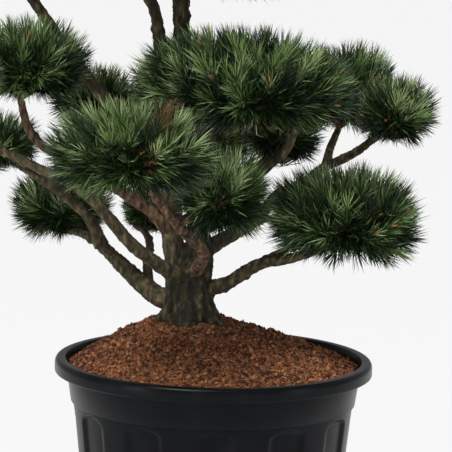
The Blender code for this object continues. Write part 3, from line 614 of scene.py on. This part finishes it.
def smooth_path(points, step):
    """Evenly refined Catmull-Rom curve through the points."""
    points = [Vector(p) for p in points]
    ends = [2 * points[0] - points[1]] + points + [2 * points[-1] - points[-2]]
    path = []
    for before, start, end, after in zip(ends, ends[1:], ends[2:], ends[3:]):
        pieces = max(1, round((end - start).length / step))
        for piece in range(pieces):
            t = piece / pieces
            path.append(0.5 * (2 * start + (end - before) * t
                               + (2 * before - 5 * start + 4 * end - after) * t ** 2
                               + (3 * start - before - 3 * end + after) * t ** 3))
    path.append(points[-1])
    return path


def path_length(path):
    """Whole length of the path."""
    return sum((end - start).length for start, end in zip(path, path[1:]))


def shares_along(path):
    """Share of the path's whole length at each of its points."""
    lengths = [0.0]
    for start, end in zip(path, path[1:]):
        lengths.append(lengths[-1] + (end - start).length)
    return [length / lengths[-1] for length in lengths]


def point_at(path, share):
    """Point at a share of the path's length."""
    shares = shares_along(path)
    for index in range(len(path) - 1):
        if share <= shares[index + 1]:
            local = (share - shares[index]) / (shares[index + 1] - shares[index])
            return path[index].lerp(path[index + 1], local)
    return path[-1].copy()


def ring_frames(path):
    """Side and up directions square to the path at each point, turned as little as possible."""
    last = len(path) - 1
    side = Vector((0.0, -1.0, 0.0))
    frames = []
    for index in range(len(path)):
        along = (path[min(index + 1, last)] - path[max(index - 1, 0)]).normalized()
        side = (side - along * side.dot(along)).normalized()
        frames.append((side, along.cross(side)))
    return frames


def trunk_radius(height):
    """Radius at a height above the ground."""
    for (low, low_radius), (high, high_radius) in zip(TRUNK_RADII, TRUNK_RADII[1:]):
        if height <= high:
            return low_radius + (high_radius - low_radius) * (height - low) / (high - low)
    return TRUNK_RADII[-1][1]


def root_flare(angle, centre):
    """Lobed outline of the foot, which fades into the round trunk."""
    fade = max(0.0, 1.0 - (centre.z - TRUNK_FOOT.z) / ROOT_LOBE_HEIGHT)
    return 1.0 + ROOT_LOBE_SHARE * fade * math.cos(ROOT_LOBES * angle + ROOT_LOBE_TURN)


def bark_rings(name, path, radii, plate, depth, flare=None):
    """Rings round a limb with cracked plates, lumps and a few knots pressed into them."""
    chance = random.Random(name)
    widest = max(radii[len(radii) // WIDE_FOOT_PART:])
    columns = max(FEWEST_COLUMNS, round(2 * math.pi * widest / BARK_COLUMN_WIDTH))
    whole = path_length(path)
    lengths = [share * whole for share in shares_along(path)]
    knot_count = max(FEWEST_KNOTS, round(lengths[-1] / KNOT_SPACING))
    knots = [(chance.uniform(*KNOT_SPREAD) * lengths[-1], chance.uniform(0, 2 * math.pi),
              chance.uniform(*KNOT_SIZES)) for _ in range(knot_count)]
    drift = Vector([chance.uniform(0, GRAIN_DRIFT) for _ in range(3)])
    rings = []
    for (side, up), centre, radius, along in zip(ring_frames(path), path, radii, lengths):
        ring = []
        for column in range(columns):
            angle = 2 * math.pi * column / columns
            place = Vector((math.cos(angle) * radius, math.sin(angle) * radius, along))
            cells = noise.voronoi(Vector((place.x, place.y, place.z * PLATE_STRETCH)) / plate + drift)[0]
            crack = min(1.0, (cells[1] - cells[0]) / CRACK_SHARE)
            relief = depth * (crack - CRACK_LEVEL)
            relief += FLAKE_DEPTH * depth * noise.noise(place / (FLAKE_SIZE * plate) + drift)
            relief += LUMP_SHARE * radius * noise.noise(place / LUMP_SIZE + drift)
            for knot_along, knot_angle, knot_share in knots:
                if abs(along - knot_along) < 2 * radius:
                    turn = (angle - knot_angle + math.pi) % (2 * math.pi) - math.pi
                    size = max(SMALLEST_KNOT, knot_share * radius)
                    far = ((along - knot_along) / size) ** 2 + (turn * radius / size) ** 2
                    relief += KNOT_HEIGHT * size * math.exp(-far)
            reach = radius * (flare(angle, centre) if flare else 1.0) + relief
            ring.append(centre + reach * (side * math.cos(angle) + up * math.sin(angle)))
        rings.append(ring)
    return rings


def bark_finish(name, colours, scale):
    """Cracked bark: colours and fine relief from the same stretched grain."""
    made, shader = new_finish(name, BARK_ROUGHNESS)
    pattern = grain(made, scale, BARK_DETAIL, BARK_STRETCH)
    colour_by(made, shader, pattern, colours)
    bump_by(made, shader, pattern, BARK_GRAIN_HEIGHT)
    return made


old_bark = bark_finish("old_bark", OLD_BARK_COLOURS, OLD_BARK_SCALE)
bough_bark = bark_finish("bough_bark", BOUGH_BARK_COLOURS, BOUGH_BARK_SCALE)
young_bark = bark_finish("young_bark", YOUNG_BARK_COLOURS, YOUNG_BARK_SCALE)
flare_top = TRUNK_FOOT + Vector((0.0, 0.0, FLARE_STEP))
wood = {"trunk": [TRUNK_FOOT, flare_top] + smooth_path(TRUNK_BENDS, LIMB_STEP)}
trunk_line = smooth_path((TRUNK_FOOT, *TRUNK_BENDS), BARK_STEP)
trunk_rings = bark_rings("trunk", trunk_line, [trunk_radius(p.z - TRUNK_FOOT.z) for p in trunk_line],
                         *TRUNK_PLATES, root_flare)
add_piece("trunk_bark", *skin(trunk_rings), [old_bark], "bark", "trunk")
limb_pieces = [(np.array(a), np.array(b), trunk_radius(a.z - TRUNK_FOOT.z))
               for a, b in zip(wood["trunk"], wood["trunk"][1:])]
limb_tips = {"trunk": TRUNK_RADII[-1][1]}
for name, carrier, share, base_radius, tip_radius, bends in LIMBS:
    start = point_at(wood[carrier], share)
    wood[name] = smooth_path((start, *bends), LIMB_STEP)
    limb_tips[name] = tip_radius
    for (a, b), here in zip(zip(wood[name], wood[name][1:]), shares_along(wood[name])):
        limb_pieces.append((np.array(a), np.array(b), base_radius + (tip_radius - base_radius) * here))
    line = smooth_path((start, *bends), BARK_STEP)
    whole = path_length(line)
    radii = [(base_radius + (tip_radius - base_radius) * here)
             * (1.0 + COLLAR_SHARE * math.exp(-here * whole / COLLAR_LENGTH)) for here in shares_along(line)]
    limb_rings = bark_rings(name, line, radii, PLATE_SIZE[0] + PLATE_SIZE[1] * base_radius,
                            PLATE_DEPTH[0] + PLATE_DEPTH[1] * base_radius)
    finish = young_bark if name in REDDISH else bough_bark
    add_piece(name + "_bark", *skin(limb_rings), [finish], "bark", name)


# Pads of needles
# Each pad is what years of pinching make of one bough's end: a fan of twigs from a single stem, each with
# short shoots that bristle with stiff paired needles. Needles facing up are painted paler as painted light,
# needles deep in the pad are painted dark as painted shade, and the underside is open.

# Each pad: name, bough that carries it, centre, half width, half depth, rise, fall, lobes
PADS = (
    ("front_left", "front_bough", (-0.126, -0.262, 0.733), 0.129, 0.092, 0.082, 0.074, 4),
    ("front_right", "front_side_bough", (0.008, -0.128, 0.652), 0.077, 0.063, 0.085, 0.080, 3),
    ("right", "low_right_bough", (0.199, -0.040, 0.607), 0.129, 0.100, 0.092, 0.080, 4),
    ("upper", "upper_bough", (0.032, -0.098, 0.812), 0.180, 0.092, 0.098, 0.070, 5),
    ("far_right_upper", "high_right_fork", (0.210, 0.190, 0.790), 0.082, 0.076, 0.084, 0.078, 3),
    ("far_right_lower", "high_right_bough", (0.282, 0.055, 0.770), 0.068, 0.060, 0.064, 0.060, 3),
    ("upper_left", "rising_left_bough", (-0.288, -0.085, 0.846), 0.097, 0.088, 0.074, 0.064, 4),
    ("left_edge", "left_edge_bough", (-0.368, -0.234, 0.838), 0.058, 0.052, 0.045, 0.040, 3),
    ("back_left", "back_left_bough", (-0.197, 0.075, 0.780), 0.078, 0.070, 0.058, 0.050, 3),
    ("left_middle", "low_left_riser", (-0.358, 0.100, 0.704), 0.080, 0.074, 0.054, 0.052, 3),
    ("left_low", "low_left_bough", (-0.254, 0.180, 0.594), 0.088, 0.082, 0.068, 0.066, 3),
    ("back_middle", "back_middle_bough", (-0.110, 0.250, 0.588), 0.052, 0.070, 0.052, 0.048, 3),
    ("back_centre", "back_bough", (-0.030, 0.270, 0.698), 0.095, 0.085, 0.060, 0.046, 3),
    ("back_right", "back_right_bough", (0.102, 0.080, 0.728), 0.068, 0.054, 0.060, 0.058, 3),
    ("back_upper", "back_upper_bough", (-0.016, 0.165, 0.812), 0.108, 0.084, 0.068, 0.050, 4),
    ("left_outer", "front_left_bough", (-0.424, -0.085, 0.758), 0.064, 0.064, 0.047, 0.043, 3),
    ("top_left", "far_left_stem", (-0.338, 0.034, 1.014), 0.103, 0.094, 0.068, 0.050, 4),
    ("top_front", "left_stem", (-0.182, -0.100, 1.050), 0.096, 0.088, 0.066, 0.052, 4),
    ("top", "trunk", (-0.059, 0.000, 1.172), 0.130, 0.120, 0.078, 0.056, 5),
    ("top_right", "top_right_bough", (0.035, -0.078, 1.005), 0.094, 0.082, 0.060, 0.064, 3),
    ("top_back", "top_back_bough", (-0.077, 0.175, 1.018), 0.110, 0.092, 0.062, 0.052, 4),
)
PAD_FULLNESS = 2.5
LOBE_DIP = 0.05
SPRAY_LOWEST = -0.80
STEM_GAP = 0.00035
KNEE_LENGTH = 0.008
HUB_SHARE = 0.25
STEM_BEND = 0.6
STEM_TAPER = (1.0, 0.9, 0.7, 0.5)
STEM_SIDES = 8
SHOOTS_IN_AREA = 5200.0
INNER_SHARE = 0.38
INNER_TURN = 1.0
INNER_REACH = (0.40, 0.72)
OUTER_REACH = (0.94, 1.07)
CLUMP_DIP = 0.16
CLUMP_SIZE = 0.045
CLUMP_LEVEL = 0.25
CLUMP_DRIFT = 9.0
SHOOT_INSET = 0.027
UP_SWEEP = 0.55
UP_SWEEP_START = 0.35
AIM_SCATTER = 0.10
NEEDLED_LENGTH = 0.046
NEEDLES_ON_SHOOT = 96
NEEDLE_LENGTH = (0.033, 0.042)
NEEDLE_WIDTH = 0.00147
NEEDLE_TIP_ANGLE = math.radians(12)
NEEDLE_BASE_ANGLE = math.radians(62)
NEEDLE_ANGLE_SCATTER = math.radians(6)
NEEDLE_CROWDING = 0.9
NEEDLE_SPREAD = 0.7
NEEDLE_SAG = 0.0026
NEEDLE_CURL = 0.0030
NEEDLE_WIDTH_SCATTER = (0.85, 1.15)
SHORTENED = 0.74
OUTLINE_LIMIT = 1.10
LIMB_CLEARANCE = 0.001
MAIN_TWIGS = 6
MAIN_TWIG_RADII = (0.0034, 0.0018)
MAIN_TWIG_SIDES = 6
MAIN_TWIG_SCATTER = 0.3
MAIN_TWIG_REACH = 0.62
MAIN_TWIG_DROP = 0.10
MAIN_TWIG_RISE = (-0.10, 0.15)
MAIN_TWIG_BENDS = (0.35, 0.7)
MAIN_TWIG_STEP = 0.012
TWIG_SWAY = 0.07
TWIG_DROOP = -0.8
SHOOT_RADII = (0.0015, 0.0010)
SHOOT_TAPER = 0.9
SHOOT_SIDES = 4
SHOOT_TURN = 0.45
SHOOT_BENDS = (0.6, 0.3)
BUD_SHARE = 0.08
BUD_LENGTH = 0.012
BUD_RADIUS = 0.0026
BUD_STALK = 0.008
BUD_UPRIGHT = 0.1
BUD_PARTS = (0.0, 0.25, 0.6, 1.0)
BUD_RADII = (0.5 * BUD_RADIUS, BUD_RADIUS, 0.75 * BUD_RADIUS, 0.0003)
BUD_SIDES = 6
# The palest green is mostly painted highlight for shoots facing up, and also a random paler tone; the brown
# is old needles.
NEEDLE_COLOURS = ((0.008, 0.018, 0.006), (0.024, 0.050, 0.015), (0.070, 0.132, 0.038), (0.180, 0.300, 0.092),
                  (0.420, 0.520, 0.240), (0.160, 0.080, 0.026))
DEEP, PALEST, OLD_BROWN = 0, 4, 5
# Two colour mixes that paint light and shade: the first is painted light for shoots facing up, the second
# painted shade for shoots facing down.
PAINTED_LIGHT_MIX = np.array((0.11, 0.16, 0.22, 0.33, 0.175, 0.005))
PAINTED_SHADE_MIX = np.array((0.44, 0.34, 0.15, 0.05, 0.01, 0.010))
SIDE_LIGHT = 0.08
LIGHT_GAIN = 1.15
STRAY_SHARE = 0.60
STRAY_STEPS = 2
SHADED_PART = 0.66
BUD_COLOUR = (0.330, 0.130, 0.045)
NEEDLE_ROUGHNESS = 0.36
BUD_ROUGHNESS = 0.55
TWIG_BARK_SCALE = 260.0
needle_finishes = [new_finish(f"needle_{number}", NEEDLE_ROUGHNESS, colour)[0]
                   for number, colour in enumerate(NEEDLE_COLOURS)]
twig_bark = bark_finish("twig_bark", YOUNG_BARK_COLOURS, TWIG_BARK_SCALE)
bud_scale = new_finish("bud_scale", BUD_ROUGHNESS, BUD_COLOUR)[0]


def pad_directions(count, turn):
    """Evenly spread headings over the dome and the upper part of its underside."""
    index = np.arange(count)
    upright = 1.0 - (index + 0.5) / count * (1.0 - SPRAY_LOWEST)
    heading = index * math.pi * (3.0 - math.sqrt(5.0)) + turn
    flat = np.sqrt(1.0 - upright ** 2)
    return np.stack([flat * np.cos(heading), flat * np.sin(heading), upright], axis=1)


def pad_reach(directions, half_width, half_depth, rise, fall, lobes, turn):
    """Offsets from the pad's centre to its outline, with shallow lobes round it."""
    flat = np.hypot(directions[:, 0], directions[:, 1])
    heading = np.arctan2(directions[:, 1], directions[:, 0])
    dip = 1.0 - LOBE_DIP * flat * (0.5 - 0.5 * np.cos(lobes * heading + turn))
    fullness = (np.abs(directions) ** PAD_FULLNESS).sum(axis=1) ** (-1.0 / PAD_FULLNESS)
    height = np.where(directions[:, 2] > 0, rise, fall)
    size = np.stack([directions[:, 0] * half_width, directions[:, 1] * half_depth,
                     directions[:, 2] * height], axis=1)
    return size * (fullness * dip)[:, None]


def outline_share(points, centre, half_width, half_depth, rise, fall):
    """How far out points lie: 1 is the pad's outline."""
    offset = points - centre
    height = np.where(offset[:, 2] > 0, rise, fall)
    parts = np.abs(offset) / np.stack([np.full(len(points), half_width), np.full(len(points), half_depth),
                                       height], axis=1)
    return (parts ** PAD_FULLNESS).sum(axis=1) ** (1.0 / PAD_FULLNESS)


def clear_of_wood(points):
    """Whether each point keeps off every limb."""
    clear = np.ones(len(points), bool)
    for start, end, radius in limb_pieces:
        run = end - start
        local = np.clip((points - start) @ run / (run @ run), 0.0, 1.0)
        gaps = np.linalg.norm(points - (start + local[:, None] * run), axis=1)
        clear &= gaps > radius + LIMB_CLEARANCE
    return clear


def unit(vectors):
    """Vectors cut to length 1."""
    return vectors / np.linalg.norm(vectors, axis=1, keepdims=True)


def add_twig(points, faces, line, radii, sides):
    """Slim closed tube added to a growing list of points and faces."""
    rings = []
    for (side, up), centre, radius in zip(ring_frames(line), line, radii):
        rings.append([centre + radius * (side * math.cos(2 * math.pi * corner / sides)
                                         + up * math.sin(2 * math.pi * corner / sides))
                      for corner in range(sides)])
    more_points, more_faces = skin(rings, len(points))
    points += more_points
    faces += more_faces


def place_shoots(index, hub, centre, sizes, lobes, turn, deal):
    """Headings, aims and tips of a pad's short shoots: an outer shell in soft clumps, and fewer inside it."""
    half_width, half_depth, rise, _ = sizes
    area = half_width * half_depth + half_width * rise + half_depth * rise
    outer_count = round(SHOOTS_IN_AREA * area)
    inner_count = round(outer_count * INNER_SHARE)
    directions = np.concatenate([pad_directions(outer_count, turn),
                                 pad_directions(inner_count, turn + INNER_TURN)])
    reach_share = np.concatenate([deal.uniform(*OUTER_REACH, outer_count),
                                  deal.uniform(*INNER_REACH, inner_count)])
    outline_points = pad_reach(directions, *sizes, lobes, turn)
    drift = Vector((0, 0, CLUMP_DRIFT * index))
    clumps = np.array([noise.noise(Vector(offset) / CLUMP_SIZE + drift) for offset in outline_points])
    reach_share -= CLUMP_DIP * np.clip(CLUMP_LEVEL - clumps, 0.0, 1.0)
    far_points = centre + outline_points * reach_share[:, None]
    aims = unit(far_points - np.array(hub))
    aims[:, 2] += UP_SWEEP * np.clip(UP_SWEEP_START + directions[:, 2], 0.0, 1.0)
    aims = unit(aims + deal.normal(0, AIM_SCATTER, aims.shape))
    tips = far_points - aims * SHOOT_INSET
    free = clear_of_wood(tips)
    return directions[free], aims[free], tips[free]


def main_twig_line(start, end, chance):
    """Line of a main twig, which droops and sways on its way."""
    sway = Vector((chance.uniform(-1, 1), chance.uniform(-1, 1), TWIG_DROOP))
    sway = sway * TWIG_SWAY * (end - start).length
    near, far = MAIN_TWIG_BENDS
    return smooth_path((start, start.lerp(end, near) + sway, start.lerp(end, far) + 0.5 * sway, end),
                       MAIN_TWIG_STEP)


def shoot_line(start, tip, aim):
    """Line of a short shoot, which leaves its twig and turns to its own aim."""
    bend = tip - aim * SHOOT_TURN * (tip - start).length
    near, far = SHOOT_BENDS
    return [start, start.lerp(bend, near), bend.lerp(tip, far), tip]


def needle_sprays(shoot_tips, shoot_aims, centre, sizes, deal):
    """Needles round their shoots: feet, aims, lengths, sags, places along the shoot, and which keep clear."""
    count = len(shoot_tips) * NEEDLES_ON_SHOOT
    axes = np.repeat(shoot_aims, NEEDLES_ON_SHOOT, axis=0)
    back = deal.uniform(0, 1, count) ** NEEDLE_CROWDING
    angles = NEEDLE_TIP_ANGLE + (NEEDLE_BASE_ANGLE - NEEDLE_TIP_ANGLE) * back ** NEEDLE_SPREAD
    angles += deal.normal(0, NEEDLE_ANGLE_SCATTER, count)
    around = deal.uniform(0, 2 * math.pi, count)
    first, second = square_to(axes)
    out = first * np.cos(around)[:, None] + second * np.sin(around)[:, None]
    aims = unit(axes * np.cos(angles)[:, None] + out * np.sin(angles)[:, None])
    feet = np.repeat(shoot_tips, NEEDLES_ON_SHOOT, axis=0) - axes * (back * NEEDLED_LENGTH)[:, None]
    lengths = deal.uniform(*NEEDLE_LENGTH, count)
    sags = deal.normal(0, NEEDLE_SAG, (count, 3)) - out * NEEDLE_CURL
    too_far = outline_share(feet + aims * lengths[:, None] + sags, centre, *sizes) > OUTLINE_LIMIT
    lengths[too_far] *= SHORTENED
    tips = feet + aims * lengths[:, None] + sags
    kept = outline_share(tips, centre, *sizes) <= OUTLINE_LIMIT
    kept &= clear_of_wood(tips) & clear_of_wood((feet + tips) / 2)
    return feet, aims, lengths, sags, back, kept


def needle_kinds(directions, back, deal):
    """Each needle's colour, dealt out by shoot: painted light makes upward shoots paler, strays vary the
    tone, and painted shade darkens needles deep in the pad.
    """
    kinds = np.empty(len(directions), int)
    for number, direction in enumerate(directions):
        # Painted light and shade: the more a shoot faces up, the paler its colours.
        light = min(1.0, max(0.0, SIDE_LIGHT + LIGHT_GAIN * direction[2]))
        mix = PAINTED_LIGHT_MIX * light + PAINTED_SHADE_MIX * (1.0 - light)
        kinds[number] = deal.choice(len(NEEDLE_COLOURS), p=mix / mix.sum())
    kinds = np.repeat(kinds, NEEDLES_ON_SHOOT)
    stray = (deal.random(len(kinds)) < STRAY_SHARE) & (kinds != OLD_BROWN)
    steps = deal.integers(-STRAY_STEPS, STRAY_STEPS + 1, stray.sum())
    kinds[stray] = np.clip(kinds[stray] + steps, DEEP, PALEST)
    # Painted shade: needles far back on their shoot, deep in the pad, take the darkest colour.
    kinds[(back > SHADED_PART) & (kinds != OLD_BROWN)] = DEEP
    return kinds


bud_points = []
bud_faces = []
for index, (name, bough, middle, half_width, half_depth, rise, fall, lobes) in enumerate(PADS):
    chance = random.Random(index + 1)
    turn = chance.uniform(0.0, 2 * math.pi)
    deal = np.random.default_rng(index + 1)
    sizes = (half_width, half_depth, rise, fall)
    centre = np.array(middle)
    heading = (wood[bough][-1] - wood[bough][-2]).normalized()
    stem_foot = wood[bough][-1] + heading * STEM_GAP
    knee = stem_foot + heading * KNEE_LENGTH
    hub = Vector(middle).lerp(knee, HUB_SHARE)
    directions, shoot_aims, shoot_tips = place_shoots(index, hub, centre, sizes, lobes, turn, deal)

    twig_points = []
    twig_faces = []
    add_twig(twig_points, twig_faces, [stem_foot, knee, knee.lerp(hub, STEM_BEND), hub],
             [limb_tips[bough] * part for part in STEM_TAPER], STEM_SIDES)
    joints = [knee, knee.lerp(hub, 0.5), hub]
    thick, thin = MAIN_TWIG_RADII
    for twig in range(MAIN_TWIGS):
        scatter = chance.uniform(-MAIN_TWIG_SCATTER, MAIN_TWIG_SCATTER)
        angle = turn + 2 * math.pi * (twig + scatter) / MAIN_TWIGS
        end = Vector(middle) + Vector((MAIN_TWIG_REACH * half_width * math.cos(angle),
                                       MAIN_TWIG_REACH * half_depth * math.sin(angle),
                                       -MAIN_TWIG_DROP * fall + chance.uniform(*MAIN_TWIG_RISE) * rise))
        line = main_twig_line(knee, end, chance)
        add_twig(twig_points, twig_faces, line, [thick + (thin - thick) * s for s in shares_along(line)],
                 MAIN_TWIG_SIDES)
        joints += line[2:]
    joint_array = np.array(joints)
    thick, thin = SHOOT_RADII
    for tip, aim in zip(shoot_tips, shoot_aims):
        tip, aim = Vector(tip), Vector(aim)
        distances = np.linalg.norm(joint_array - np.array(tip), axis=1)
        line = shoot_line(joints[int(np.argmin(distances))], tip, aim)
        add_twig(twig_points, twig_faces, line, (thick, SHOOT_TAPER * thick, thin, thin), SHOOT_SIDES)
        if aim.z > BUD_UPRIGHT and chance.random() < BUD_SHARE:
            bud = [tip + aim * (BUD_STALK + part * BUD_LENGTH) for part in BUD_PARTS]
            add_twig(bud_points, bud_faces, bud, BUD_RADII, BUD_SIDES)
    add_piece("twigs_" + name, twig_points, twig_faces, [twig_bark], "bark")

    feet, aims, lengths, sags, back, kept = needle_sprays(shoot_tips, shoot_aims, centre, sizes, deal)
    kinds = needle_kinds(directions, back, deal)
    blades("needle_pad_" + name, feet[kept], aims[kept], sags[kept], lengths[kept],
           deal.uniform(*NEEDLE_WIDTH_SCATTER, kept.sum()) * NEEDLE_WIDTH,
           deal.uniform(0, math.pi, kept.sum()), kinds[kept], needle_finishes, "needles", "needles_" + name)

add_piece("buds", bud_points, bud_faces, [bud_scale], "bark")
